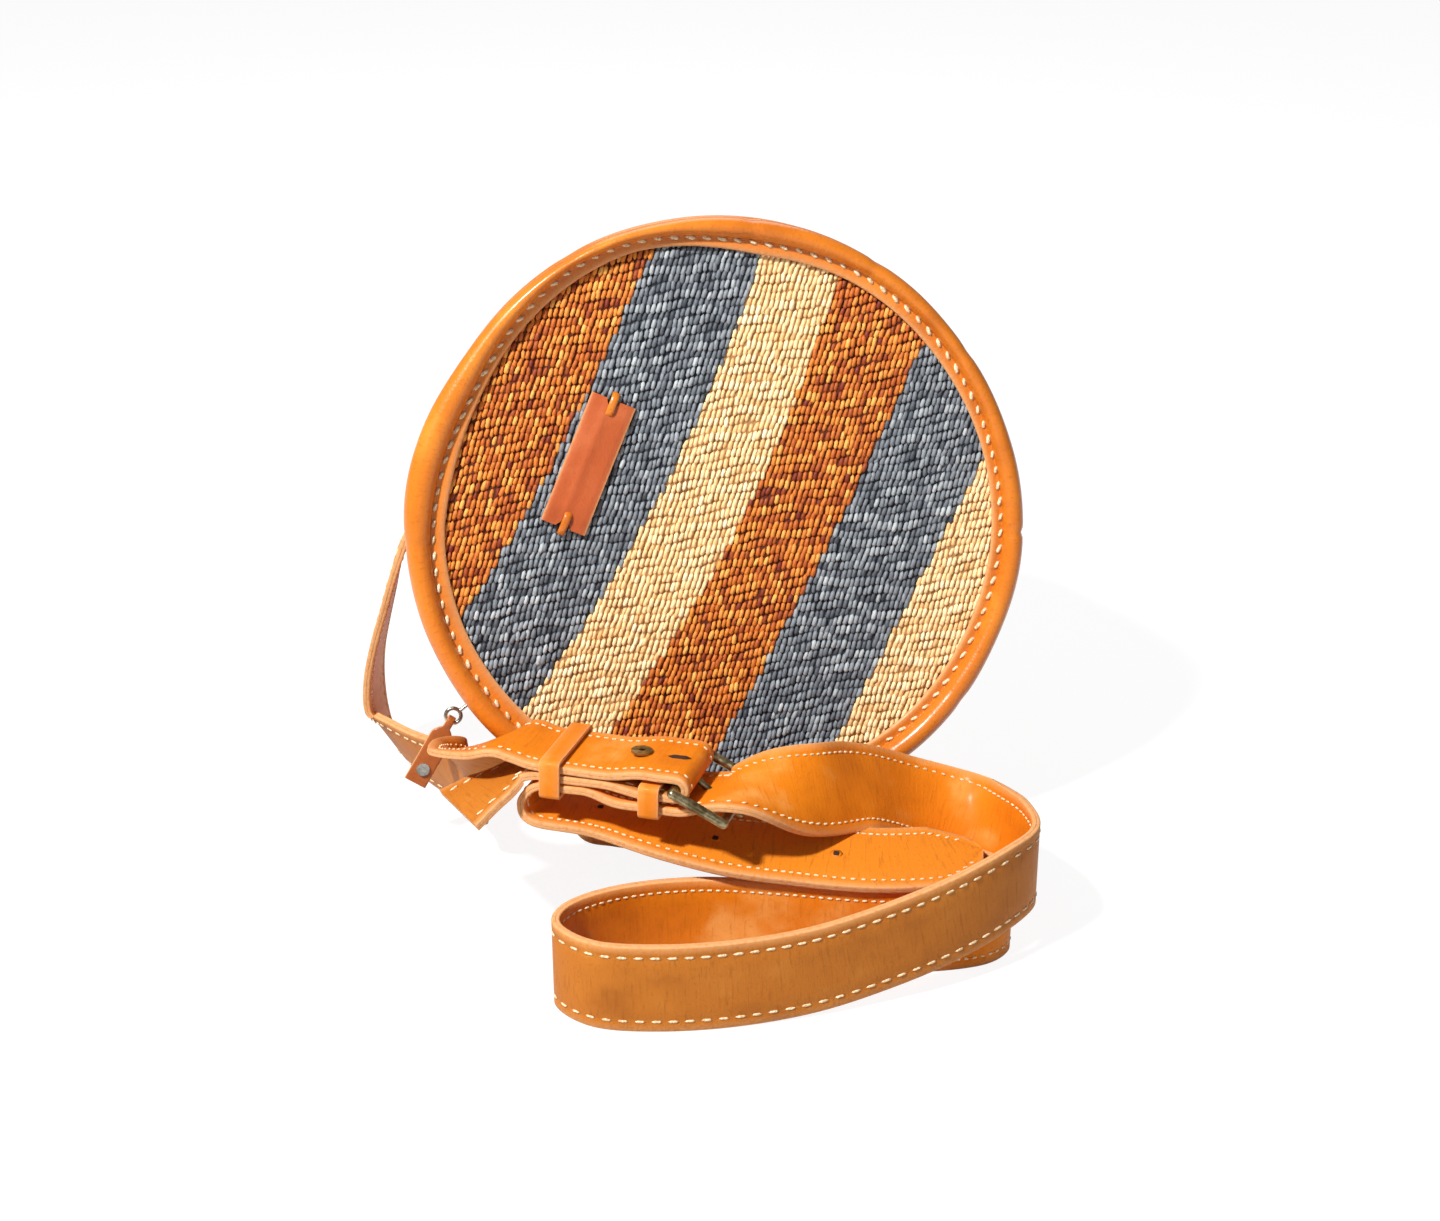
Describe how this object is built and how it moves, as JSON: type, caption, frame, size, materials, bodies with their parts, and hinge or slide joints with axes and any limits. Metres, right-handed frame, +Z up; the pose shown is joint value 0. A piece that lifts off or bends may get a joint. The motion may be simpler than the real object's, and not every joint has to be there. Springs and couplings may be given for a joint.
{
  "type": "round woven shoulder bag",
  "caption": "Round striped woven bag with rolled leather rims, a curved zip on its gusset and a two-layer leather strap joined by a buckle in front.",
  "frame": {"origin": "middle of the bounding box's bottom face, on the floor", "axes": "+Z up, -Y towards the bag's striped front, +X to the viewer's right"},
  "size_m": [0.2238, 0.2214, 0.2168],
  "materials": {
    "trim_leather": "satin tan leather",
    "strap_leather": "oiled brown leather",
    "strap_lining_leather": "smooth orange tan leather",
    "lining_cotton": "plain cotton",
    "woven_sisal": "tight twined fibre in stripes",
    "zip_tape": "black woven tape",
    "antique_brass": "dull antique",
    "label_leather": "bare terracotta leather"
  },
  "bodies": {
    "bag": {"front_rim": "trim_leather", "back_rim": "trim_leather", "gusset_band": "trim_leather", "zip_facing_front": "trim_leather", "zip_facing_back": "trim_leather", "long_strap": "strap_leather", "buckle_strap": "strap_leather", "fixed_keeper": "strap_leather", "long_strap_lining": "strap_lining_leather", "buckle_strap_lining": "strap_lining_leather", "front_lining": "lining_cotton", "back_lining": "lining_cotton", "gusset_lining": "lining_cotton", "front_panel": "woven_sisal", "back_panel": "woven_sisal", "zip_tape_front": "zip_tape", "zip_tape_back": "zip_tape", "zip_teeth_front": "antique_brass", "zip_teeth_back": "antique_brass", "zip_stops": "antique_brass", "strap_eyelet": "antique_brass", "label": "label_leather", "label_lace_upper": "label_leather", "label_lace_lower": "label_leather"},
    "slider": {"zip_slider": "antique_brass"},
    "pull": {"zip_pull": "antique_brass"},
    "tab": {"zip_tab": "trim_leather", "zip_tab_rivet": "antique_brass"},
    "buckle": {"buckle_frame": "antique_brass"},
    "prong": {"buckle_prong": "antique_brass"},
    "keeper": {"sliding_keeper": "strap_leather"}
  },
  "joints": [
    {"name": "zip_slide", "type": "hinge", "parent": "bag", "child": "slider", "pos_m": [0.00994, 0.0447, 0.10838], "axis": [0, -0.9659, 0.2588], "range_deg": [-118, 0]},
    {"name": "pull_swing", "type": "hinge", "parent": "slider", "child": "pull", "pos_m": [-0.06717, 0.02097, 0.05459], "axis": [0, -0.9659, 0.2588], "range_deg": [-40, 3]},
    {"name": "tab_swing", "type": "hinge", "parent": "pull", "child": "tab", "pos_m": [-0.082, 0.01796, 0.04338], "axis": [0.8434, -0.1391, -0.519], "range_deg": [-20, 15]},
    {"name": "buckle_turn", "type": "hinge", "parent": "bag", "child": "buckle", "pos_m": [-0.00966, -0.0583, 0.0605], "axis": [0.3892, 0.917, -0.0872], "range_deg": [0, 1.5]},
    {"name": "prong_turn", "type": "hinge", "parent": "bag", "child": "prong", "pos_m": [-0.00966, -0.0583, 0.0605], "axis": [0.3892, 0.917, -0.0872], "range_deg": [0, 4]},
    {"name": "keeper_slide", "type": "slide", "parent": "bag", "child": "keeper", "axis": [0.9205, -0.3907, 0], "range_m": [0, 0.009]}
  ]
}
